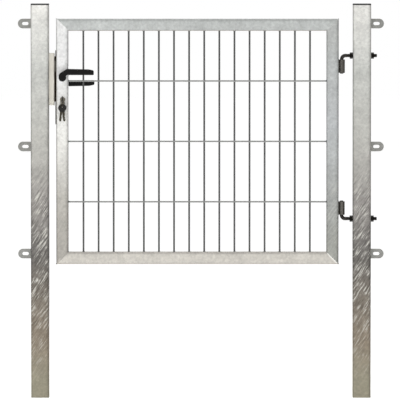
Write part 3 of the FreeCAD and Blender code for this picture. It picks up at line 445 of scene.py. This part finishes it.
def make_materials(colours, sizes):
    """Every finish, by the name that CAD_FINISHES gives it."""
    # Zinc colours with painted reflected light, from the ground up: height in metres, colour.
    posts = [
        (0.06, colours.zinc_and_light_foot),
        (0.19, colours.zinc_and_light_shin),
        (0.47, colours.zinc_and_light_knee),
        (0.65, colours.zinc_and_light_waist),
        (0.85, colours.zinc_and_light_chest),
        (1.09, colours.zinc_and_light_shoulder),
        (1.29, colours.zinc_and_light_head),
    ]
    lock_stile = [
        (0.5, colours.lock_stile_foot),
        (0.66, colours.lock_stile_middle),
        (0.86, colours.lock_stile_lock),
        (1.1, colours.lock_stile_head),
    ]
    hinge_stile = [
        (0.5, colours.hinge_stile_foot),
        (0.9, colours.hinge_stile_middle),
        (1.2, colours.hinge_stile_head),
    ]
    # The rails' tones are painted light; the bottom rail's warm tint is a painted reflection of the floor.
    top_rail = [(0.5, colours.top_rail), (1.2, colours.top_rail)]
    bottom_rail = [(0.5, colours.bottom_rail), (1.2, colours.bottom_rail)]
    # Hot-dipped square tube: pale satin grey at the head, greyer then browner down the posts, with bright
    # diagonal runs at knee height. The colour by height is painted reflected light from the room and the
    # ground.
    # Each tube has its own tone as painted light and shade, from how it faces the lights.
    # Columns: tube, colours, lowest and highest runs in metres, strength of the runs.
    tubes = (
        ("lock_post", posts, 0.3, 0.66, 1.0),
        ("hinge_post", posts, 0.3, 0.66, 1.0),
        ("lock_stile", lock_stile, 0.5, 0.6, 0.2),
        ("hinge_stile", hinge_stile, 0.5, 0.66, 0.35),
        ("top_rail", top_rail, 0.5, 0.6, 0.2),
        ("bottom_rail", bottom_rail, 0.7, 0.8, 0.2),
    )
    # Columns: finish, colour, metallic, lowest and highest roughness, patch in mm, contrast.
    steels = (
        # Hot-dipped plate, wire, weld and sheet: thin metal that cools fast, so the zinc is even and duller.
        ("galvanised_lug_plate", colours.lug_zinc, 0.9, (0.35, 0.5), 12, 0.3),
        ("galvanised_mesh_bar_wire", colours.bar_wire_zinc, 0.9, (0.35, 0.5), 20, 0.15),
        # Painted highlight: the cross wires are a lighter copy of the upright wires' zinc.
        ("galvanised_mesh_cross_wire", colours.lit_cross_wire_zinc, 0.9, (0.35, 0.5), 20, 0.15),
        ("galvanised_weld_bead", colours.weld_zinc, 0.9, (0.3, 0.45), 4, 0.2),
        ("galvanised_keeper_sheet", colours.keeper_zinc, 0.85, (0.4, 0.5), 20, 0.06),
        # Electroplated, turned and bent steel: smooth and dark, with tight bright highlights along it.
        ("zinc_plated_hinge_sleeve", colours.sleeve_zinc, 1.0, (0.2, 0.3), 10, 0.2),
        ("zinc_plated_hook_bolt", colours.hook_zinc, 1.0, (0.18, 0.3), 10, 0.2),
        ("black_zinc_nut_steel", colours.nut_zinc, 1.0, (0.25, 0.36), 6, 0.2),
        # Rolled bar drawn dark brown, nearly black, as painted shade for the shaded gap beside the keeper: a
        # dull, nearly black line.
        ("rolled_forend_steel", colours.forend_steel, 1.0, (0.32, 0.48), 20, 0.2),
        # Pressed, turned and drawn steel inside the lock: bright and a little oily.
        ("pressed_lock_steel", colours.lock_steel, 1.0, (0.28, 0.4), 10, 0.1),
        ("zinc_plated_screw_steel", colours.lock_steel, 1.0, (0.22, 0.34), 4, 0.1),
        ("drawn_spring_wire", colours.lock_steel, 1.0, (0.15, 0.25), 3, 0.08),
    )
    # Nickel: a warm grey with fine lines from the grinding. Columns: finish, colour, line spacing in mm.
    nickels = (
        ("nickel_plated_cylinder", colours.nickel, 0.4),
        ("milled_nickel_silver_key", colours.key_metal, 0.3),
    )
    # Mouldings: black, with a fine grain that breaks up the shine; the cap and the buffer are duller. The
    # handles and the key heads reflect less than clean nylon does, as hands and weather have dulled them.
    # Columns: finish, colour, roughness, IOR, pore in mm, strength of the grain.
    mouldings = (
        ("moulded_nylon_handle", colours.handle_black, 0.4, 1.28, 0.8, 0.2),
        ("moulded_key_head", colours.key_black, 0.45, 1.4, 0.7, 0.2),
        ("moulded_polyethylene_cap", colours.cap_black, 0.5, 1.51, 1.2, 0.4),
        ("moulded_nylon_bush", colours.handle_black, 0.5, 1.45, 1.0, 0.2),
        ("moulded_rubber_buffer", colours.rubber, 0.75, 1.52, 1.5, 0.5),
    )
    materials = [
        galvanised_tube(f"galvanised_{tube}", tube, stops, runs, colours, sizes)
        for tube, stops, *runs in tubes
    ]
    for make, rows in ((plated_steel, steels), (brushed_metal, nickels), (moulded_plastic, mouldings)):
        materials += [make(*row) for row in rows]
    return {material.name: material for material in materials}


# --- mesh helpers ---
def put_in_scene(name, bm, body, finish, replaces=()):
    """Turns a finished bmesh into a piece that rides on a body."""
    bmesh.ops.recalc_face_normals(bm, faces=bm.faces)
    mesh = bpy.data.meshes.new(name)
    bm.to_mesh(mesh)
    bm.free()
    mesh.shade_smooth()
    mesh.materials.append(bpy.data.materials[finish])
    piece = bpy.data.objects.new(name, mesh)
    bpy.context.scene.collection.objects.link(piece)
    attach(piece, body)
    if replaces:
        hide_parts(*replaces)
    return piece


def join_rings(bm, rings, closed):
    """Skins rings of vertices into a surface; closed rings meet their own start."""
    for first, second in zip(rings, rings[1:]):
        count = len(first)
        for n in range(count if closed else count - 1):
            m = (n + 1) % count
            bm.faces.new((first[n], first[m], second[m], second[n]))


def add_bead(bm, start, end, out, width, height, ripple):
    """A weld bead along a line: overlapping crescents of metal, highest in the middle, thin at its ends.

    Out points away from the metal that the bead lies on.
    """
    start, end, out = Vector(start), Vector(end), Vector(out).normalized()
    along = (end - start).normalized()
    side = along.cross(out).normalized()
    length = (end - start).length
    rings_a_ripple = 5
    facets = 6
    blunt = 0.3 * MM
    sunk = 0.25
    wander_scale = 400
    steps = max(8, round(length / ripple * rings_a_ripple))
    rings = []
    for step in range(steps + 1):
        run = length * step / steps
        to_end = min(run + blunt, length - run + blunt)
        ends = min(1.0, to_end / (width / 2)) ** 0.5
        ring = []
        for n in range(facets + 1):
            angle = math.pi * n / facets
            phase = run / ripple - 0.4 * math.sin(angle)
            crescent = 0.72 + 0.28 * (1 - phase % 1.0)
            wander = noise.noise((start + along * run) * wander_scale)
            across = math.cos(angle) * width / 2 * ends * (1 + 0.12 * wander)
            above = (math.sin(angle) * crescent * (1 + 0.15 * wander) * ends - sunk) * height
            ring.append(bm.verts.new(start + along * run + side * across + out * above))
        rings.append(ring)
    join_rings(bm, rings, closed=False)


def add_blob(bm, centre, radii, seed):
    """A small lump of weld metal, uneven in a way that the seed sets."""
    columns, rows = 10, 6
    rings = []
    for row in range(rows + 1):
        polar = math.pi * (0.04 + 0.92 * row / rows)
        flat = math.sin(polar)
        ring = []
        for column in range(columns):
            turn = 2 * math.pi * column / columns
            way = Vector((flat * math.cos(turn), math.cos(polar), flat * math.sin(turn)))
            lump = 1 + 0.22 * noise.noise(way * 1.7 + Vector((seed, 0, 0)))
            offset = Vector(w * r * lump for w, r in zip(way, radii))
            ring.append(bm.verts.new(Vector(centre) + offset))
        rings.append(ring)
    join_rings(bm, rings, closed=True)
    bm.faces.new(rings[0])
    bm.faces.new(rings[-1])


def add_collar(bm, foot, way, inner, outer, height, seed):
    """The fillet weld round a wire where it meets a tube; way points from the tube along the wire."""
    levels, columns = 4, 12
    sunk = 0.2 * MM
    foot, way = Vector(foot), Vector(way)
    side = way.orthogonal().normalized()
    other = way.cross(side)
    rings = []
    for level in range(levels + 1):
        share = level / levels
        ring = []
        for n in range(columns):
            turn = 2 * math.pi * n / columns
            spoke = side * math.cos(turn) + other * math.sin(turn)
            lump = 1 + 0.2 * noise.noise(spoke * 1.3 + Vector((seed * 7.3, share, 0)))
            radius = inner * 0.96 + (outer - inner) * (1 - share) ** 1.8 * lump
            lift = height * share * lump - sunk
            ring.append(bm.verts.new(foot + spoke * radius + way * lift))
        rings.append(ring)
    join_rings(bm, rings, closed=True)


def sweep(bm, path, radius_at, sides):
    """A round bar along a path of points; radius_at gives its radius from the run and the angle."""
    run = 0.0
    rings = []
    side = None
    for n, point in enumerate(path):
        before = path[max(n - 1, 0)]
        after = path[min(n + 1, len(path) - 1)]
        tangent = (after - before).normalized()
        if side is None:
            side = Vector((0, 1, 0)).cross(tangent).cross(tangent).normalized()
        side = (side - tangent * side.dot(tangent)).normalized()
        other = tangent.cross(side)
        run += (point - before).length if n else 0.0
        ring = []
        for m in range(sides):
            turn = 2 * math.pi * m / sides
            spoke = side * math.cos(turn) + other * math.sin(turn)
            ring.append(bm.verts.new(point + spoke * radius_at(run, turn)))
        rings.append(ring)
    join_rings(bm, rings, closed=True)
    bm.faces.new(rings[0])
    bm.faces.new(rings[-1])


def round_edges(node, width):
    """Takes the sharpness off a CAD piece's edges."""
    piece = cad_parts[node]
    bevel = piece.modifiers.new("edge_round", "BEVEL")
    bevel.width = width
    bevel.segments = 2
    bevel.limit_method = "ANGLE"
    bevel.angle_limit = SHARP_ANGLE
    bevel.use_clamp_overlap = True
    bevel.harden_normals = True


# --- operators ---
class GateOperator:
    """What every operator shares."""

    bl_options = {"REGISTER", "UNDO"}

    @property
    def sizes(self):
        return bpy.context.scene.gate_sizes


class GATE_OT_finishes(GateOperator, bpy.types.Operator):
    """Make every finish and lay it on the CAD pieces"""

    bl_idname = "gate.finishes"
    bl_label = "Finishes"

    def execute(self, context):
        scene = context.scene
        materials = make_materials(scene.gate_colours, scene.gate_sizes)
        for finish, nodes in CAD_FINISHES.items():
            for node in nodes:
                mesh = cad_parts[node].data
                mesh.materials.clear()
                mesh.materials.append(materials[finish])
        return {"FINISHED"}


class GATE_OT_frame_welds(GateOperator, bpy.types.Operator):
    """Weld the four mitred corners of the leaf's frame; one is left undressed and stands proud"""

    bl_idname = "gate.frame_welds"
    bl_label = "Frame Welds"

    def execute(self, context):
        sizes = self.sizes
        low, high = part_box("bottom_rail")
        tube = high.z - low.z
        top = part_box("top_rail")[1].z
        depth = high.y
        corner_round = 3.5 * MM
        for x, to_x, side in ((low.x, 1, "lock"), (high.x, -1, "hinge")):
            for z, to_z, end in ((low.z, 1, "bottom"), (top, -1, "top")):
                bm = bmesh.new()
                inner = Vector((x + to_x * tube, 0, z + to_z * tube))
                outer = Vector((x, 0, z))
                step = Vector((to_x, 0, to_z)) * corner_round
                undressed = side == "hinge" and end == "bottom"
                proud = sizes.bead_height if undressed else sizes.seam_height
                for y in (-depth, depth):
                    lift = Vector((0, y, 0))
                    add_bead(
                        bm, outer + step + lift, inner - step + lift, (0, y, 0),
                        sizes.bead_width, proud, sizes.bead_ripple,
                    )
                for corner, out in ((outer, (-to_x, 0, -to_z)), (inner, (to_x, 0, to_z))):
                    across = Vector((0, depth - corner_round, 0))
                    add_bead(
                        bm, corner - across, corner + across, out,
                        sizes.bead_width, sizes.bead_height * 0.6, sizes.bead_ripple,
                    )
                finish = "galvanised_weld_bead" if undressed else f"galvanised_{side}_stile"
                put_in_scene(f"{end}_{side}_corner_weld", bm, "leaf", finish)
        return {"FINISHED"}


class GATE_OT_mesh_welds(GateOperator, bpy.types.Operator):
    """Weld the wires to the frame and to each other"""

    bl_idname = "gate.mesh_welds"
    bl_label = "Mesh Welds"

    def execute(self, context):
        bars_low, bars_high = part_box("bar_wires")
        cross_low, cross_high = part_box("cross_wires")
        bar_radius = (bars_high.y - bars_low.y) / 2
        cross_radius = (cross_high.y - cross_low.y) / 2
        cross_y = (cross_low.y + cross_high.y) / 2
        bar_gaps = round((bars_high.x - bars_low.x) / BAR_PITCH)
        level_gaps = round((cross_high.z - cross_low.z) / LEVEL_PITCH)
        bars = [bars_low.x + bar_radius + n * BAR_PITCH for n in range(bar_gaps + 1)]
        levels = [cross_low.z + cross_radius + n * LEVEL_PITCH for n in range(level_gaps + 1)]
        bar_fillet = (5.4 * MM, 3.2 * MM)  # outer radius, height
        level_fillet = (4.8 * MM, 3 * MM)
        ends = bmesh.new()
        for n, x in enumerate(bars):
            for z, way in ((bars_low.z, 1), (bars_high.z, -1)):
                add_collar(ends, (x, 0, z), (0, 0, way), bar_radius, *bar_fillet, n + way)
        for n, z in enumerate(levels):
            for x, way in ((cross_low.x, 1), (cross_high.x, -1)):
                add_collar(ends, (x, cross_y, z), (way, 0, 0), cross_radius, *level_fillet, n + way)
        put_in_scene("wire_end_welds", ends, "leaf", "galvanised_mesh_bar_wire")
        spots = bmesh.new()
        contact = cross_y + cross_radius
        lump = (3.9 * MM, 1.7 * MM, 3.4 * MM)
        for x in bars:
            for z in levels:
                add_blob(spots, (x, contact, z), lump, x * 31 + z * 17)
        put_in_scene("wire_crossing_welds", spots, "leaf", "galvanised_mesh_cross_wire")
        return {"FINISHED"}


class GATE_OT_post_welds(GateOperator, bpy.types.Operator):
    """Weld the lugs and the keeper to the posts"""

    bl_idname = "gate.post_welds"
    bl_label = "Post Welds"

    def execute(self, context):
        sizes = self.sizes
        bm = bmesh.new()
        lug_inset = 1 * MM
        for lug in LUGS:
            low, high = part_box(lug)
            way = -1 if lug.startswith("lock") else 1
            face = high.x if way < 0 else low.x
            for y, out_y in ((low.y, -1), (high.y, 1)):
                add_bead(
                    bm, (face, y, low.z + lug_inset), (face, y, high.z - lug_inset), (way, out_y, 0),
                    sizes.bead_width, sizes.bead_height, sizes.bead_ripple,
                )
        low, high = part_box("keeper")
        stitch = 22 * MM
        keeper_inset = 2 * MM
        for y, out_y in ((low.y, -1), (high.y, 1)):
            for z in (low.z + keeper_inset, high.z - stitch - keeper_inset):
                add_bead(
                    bm, (low.x, y, z), (low.x, y, z + stitch), (1, out_y, 0),
                    sizes.bead_width * 0.6, sizes.bead_height * 0.7, sizes.bead_ripple,
                )
        put_in_scene("post_welds", bm, "posts", "galvanised_weld_bead")
        return {"FINISHED"}


class GATE_OT_hinge_welds(GateOperator, bpy.types.Operator):
    """Weld the hinge sleeves to the stile"""

    bl_idname = "gate.hinge_welds"
    bl_label = "Hinge Welds"

    def execute(self, context):
        sizes = self.sizes
        bm = bmesh.new()
        inset = 3 * MM
        off_middle = 5 * MM
        off_stile = 0.8 * MM
        for sleeve in SLEEVES:
            low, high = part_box(sleeve)
            x = low.x + off_stile
            for out_y in (-1, 1):
                y = out_y * off_middle
                add_bead(
                    bm, (x, y, low.z + inset), (x, y, high.z - inset), (0.35, out_y, 0),
                    sizes.bead_width * 1.1, sizes.bead_height * 1.3, sizes.bead_ripple * 1.3,
                )
        put_in_scene("hinge_welds", bm, "leaf", "zinc_plated_hinge_sleeve")
        return {"FINISHED"}


class GATE_OT_hook_bolts(GateOperator, bpy.types.Operator):
    """Bend the hook bolts and cut their threads"""

    bl_idname = "gate.hook_bolts"
    bl_label = "Hook Bolts"

    def execute(self, context):
        for place, way in (("upper", -1), ("lower", 1)):
            self.bend(f"{place}_hook_bolt", way)
        return {"FINISHED"}

    def bend(self, node, way):
        """Way is -1 where the pin points down from the threaded bar and +1 where it points up."""
        sizes = self.sizes
        low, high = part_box(node)
        radius = (high.y - low.y) / 2
        bar_z = high.z - radius if way < 0 else low.z + radius
        tip_z = low.z if way < 0 else high.z
        pin_x = low.x + radius
        bend = 12 * MM
        plain = 2 * MM
        pin_steps, bend_steps, rings_a_pitch = 40, 12, 7
        thread_start = pin_x + bend + plain
        path = [Vector((pin_x, 0, tip_z + (bar_z - tip_z) * n / pin_steps)) for n in range(pin_steps + 1)]
        path = [p for p in path if abs(p.z - bar_z) > bend]
        for n in range(bend_steps + 1):
            angle = math.pi / 2 * n / bend_steps
            x = pin_x + bend * (1 - math.cos(angle))
            path.append(Vector((x, 0, bar_z + way * bend * (1 - math.sin(angle)))))
        first = path[-1].x
        straight = high.x - first
        steps = round(straight / sizes.thread_pitch * rings_a_pitch)
        path += [Vector((first + straight * n / steps, 0, bar_z)) for n in range(1, steps + 1)]
        total = sum((b - a).length for a, b in zip(path, path[1:]))
        thread_run = total - (high.x - thread_start)
        chamfer = 1.5 * MM

        def radius_at(run, turn):
            """The bar's radius, less the chamfer at either end or the thread's V groove."""
            cut = max(0.0, chamfer - min(run, total - run))
            if run > thread_run:
                fade = min(1.0, (run - thread_run) / (2 * sizes.thread_pitch))
                phase = run / sizes.thread_pitch - turn / (2 * math.pi)
                groove = abs(phase % 1.0 * 2 - 1)
                cut = max(cut, sizes.thread_depth * fade * groove)
            return radius - cut

        bm = bmesh.new()
        sweep(bm, path, radius_at, sides=28)
        put_in_scene(node + "_threaded", bm, "posts", "zinc_plated_hook_bolt", [node])


class GATE_OT_latch_spring(GateOperator, bpy.types.Operator):
    """Wind the latch's spring, which is pressed together as the latch draws in"""

    bl_idname = "gate.latch_spring"
    bl_label = "Latch Spring"

    def execute(self, context):
        sizes = self.sizes
        low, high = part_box("latch_spring")
        wire = sizes.spring_wire / 2
        coil = (high.y - low.y) / 2 - wire
        middle = (low + high) / 2
        turns = (high.x - low.x) / sizes.spring_pitch
        points_a_turn = 28
        count = round(turns * points_a_turn)
        path = []
        for n in range(count + 1):
            turn = 2 * math.pi * turns * n / count
            along = low.x + wire + (high.x - low.x - 2 * wire) * n / count
            y = middle.y + coil * math.cos(turn)
            z = middle.z + coil * math.sin(turn)
            path.append(Vector((along, y, z)))
        bm = bmesh.new()
        sweep(bm, path, lambda run, turn: wire, sides=10)
        spring = put_in_scene(
            "wound_latch_spring", bm, "leaf", "drawn_spring_wire", ["latch_spring"]
        )
        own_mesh(spring)
        return {"FINISHED"}


class GATE_OT_small_edges(GateOperator, bpy.types.Operator):
    """Round the edges of the small steel pieces"""

    bl_idname = "gate.small_edges"
    bl_label = "Small Edges"

    def execute(self, context):
        edge = self.sizes.edge
        for node in (*LUGS, "keeper", "stop_bar", "lock_forend", "latch_bolt"):
            round_edges(node, edge)
        for node in SLEEVES:
            round_edges(node, edge * 2)
        return {"FINISHED"}


class GATE_OT_stage(GateOperator, bpy.types.Operator):
    """Set up the floor, the lights and the camera"""

    bl_idname = "gate.stage"
    bl_label = "Stage"

    def execute(self, context):
        stage = context.scene.gate_stage
        self.lay_floor(stage)
        self.light_world(context.scene)
        self.add_softbox(
            "key_softbox", place=(-2.6, -3.6, 3.2), target=(0, 0, 0.8), side=2.4, power=stage.key_power
        )
        self.add_softbox(
            "top_softbox", place=(0, 0.4, 4.6), target=(0, 0.4, 0), side=7.0, power=stage.top_power
        )
        self.place_camera(context.scene, stage)
        context.scene.view_settings.view_transform = "Standard"
        return {"FINISHED"}

    def lay_floor(self, stage):
        """Pale matt paper, lit a little from within so that it runs into the backdrop without an edge."""
        material, tree, principled, place = start_material(
            "matt_studio_paper", Roughness=0.9, Emission_Color=(1, 1, 1, 1), Emission_Strength=0.72
        )
        fibre = grain(tree, place, 0.4, detail=2.0)
        colour = mottled(tree, (*stage.floor,), fibre, 0.99, 1.01)
        tree.links.new(colour, principled.inputs["Base Color"])
        bm = bmesh.new()
        bmesh.ops.create_circle(bm, cap_ends=True, segments=96, radius=40.0)
        mesh = bpy.data.meshes.new("studio_floor")
        bm.to_mesh(mesh)
        bm.free()
        mesh.materials.append(material)
        floor = bpy.data.objects.new("studio_floor", mesh)
        bpy.context.scene.collection.objects.link(floor)

    def light_world(self, scene):
        """White to the camera; to the gate a soft room with darker sides, which draw the tubes' edges."""
        front, right_end, left_end = 0.62, 0.04, 0.06
        world = bpy.data.worlds.new("soft_room")
        scene.world = world
        world.use_nodes = True
        tree = world.node_tree
        tree.nodes.clear()
        way = add_node(tree, "ShaderNodeTexCoord").outputs["Generated"]
        sideways = add_node(tree, "ShaderNodeSeparateXYZ", {0: way}).outputs["X"]
        sides = []
        for start, end, dim in ((-0.3, -0.8, left_end), (0.2, 0.75, right_end)):
            spread = {"Value": sideways, "From Min": start, "From Max": end, "To Min": front, "To Max": dim}
            sides.append(add_node(tree, "ShaderNodeMapRange", spread).outputs["Result"])
        darker = dict(enumerate(sides))
        level = add_node(tree, "ShaderNodeMath", darker, operation="MINIMUM").outputs[0]
        room = add_node(tree, "ShaderNodeBackground", {"Strength": level})
        backdrop = add_node(tree, "ShaderNodeBackground", {"Color": (1, 1, 1, 1), "Strength": 1.0})
        seen = add_node(tree, "ShaderNodeLightPath").outputs["Is Camera Ray"]
        shaders = {0: seen, 1: room.outputs[0], 2: backdrop.outputs[0]}
        mixed = add_node(tree, "ShaderNodeMixShader", shaders)
        add_node(tree, "ShaderNodeOutputWorld", {"Surface": mixed.outputs[0]})

    def add_softbox(self, name, place, target, side, power):
        """A square soft light, unseen by the camera."""
        light = bpy.data.lights.new(name, "AREA")
        light.shape = "RECTANGLE"
        light.size = light.size_y = side
        light.energy = power
        lamp = bpy.data.objects.new(name, light)
        lamp.location = place
        lamp.rotation_euler = (Vector(target) - Vector(place)).to_track_quat("-Z", "Y").to_euler()
        lamp.visible_camera = False
        bpy.context.scene.collection.objects.link(lamp)

    def place_camera(self, scene, stage):
        """Far off with a long lens, a little above the gate and looking a little down."""
        camera = bpy.data.cameras.new("gate_camera")
        camera.sensor_width = 36.0
        camera.lens = camera.sensor_width * stage.distance / math.cos(stage.tilt) / stage.view_width
        viewer = bpy.data.objects.new("gate_camera", camera)
        height = stage.view_height + stage.distance * math.tan(stage.tilt)
        viewer.location = (-stage.sideways, -stage.distance, height)
        viewer.rotation_euler = (math.pi / 2 - stage.tilt, 0, 0)
        scene.collection.objects.link(viewer)
        scene.camera = viewer


OPERATORS = (
    GATE_OT_finishes,
    GATE_OT_frame_welds,
    GATE_OT_mesh_welds,
    GATE_OT_post_welds,
    GATE_OT_hinge_welds,
    GATE_OT_hook_bolts,
    GATE_OT_latch_spring,
    GATE_OT_small_edges,
    GATE_OT_stage,
)


class GATE_PT_sidebar(bpy.types.Panel):
    """The gate's pieces, in the order in which they are made."""

    bl_label = "Garden Gate"
    bl_idname = "GATE_PT_sidebar"
    bl_space_type = "VIEW_3D"
    bl_region_type = "UI"
    bl_category = "Gate"

    def draw(self, context):
        for operator in OPERATORS:
            self.layout.operator(operator.bl_idname)
        for settings in (context.scene.gate_sizes, context.scene.gate_colours, context.scene.gate_stage):
            box = self.layout.box()
            for name in settings.__annotations__:
                box.prop(settings, name)


CLASSES = (GateColours, GateSizes, GateStage, *OPERATORS, GATE_PT_sidebar)


def register():
    """Adds the gate's settings, operators and panel to Blender."""
    for cls in CLASSES:
        bpy.utils.register_class(cls)
    bpy.types.Scene.gate_colours = bpy.props.PointerProperty(type=GateColours)
    bpy.types.Scene.gate_sizes = bpy.props.PointerProperty(type=GateSizes)
    bpy.types.Scene.gate_stage = bpy.props.PointerProperty(type=GateStage)


def unregister():
    """Takes them away again."""
    for name in ("gate_colours", "gate_sizes", "gate_stage"):
        delattr(bpy.types.Scene, name)
    for cls in reversed(CLASSES):
        bpy.utils.unregister_class(cls)


def main():
    """Makes the gate's pieces in order."""
    register()
    for operator in OPERATORS:
        group, name = operator.bl_idname.split(".")
        getattr(getattr(bpy.ops, group), name)()


if __name__ == "__main__":
    main()
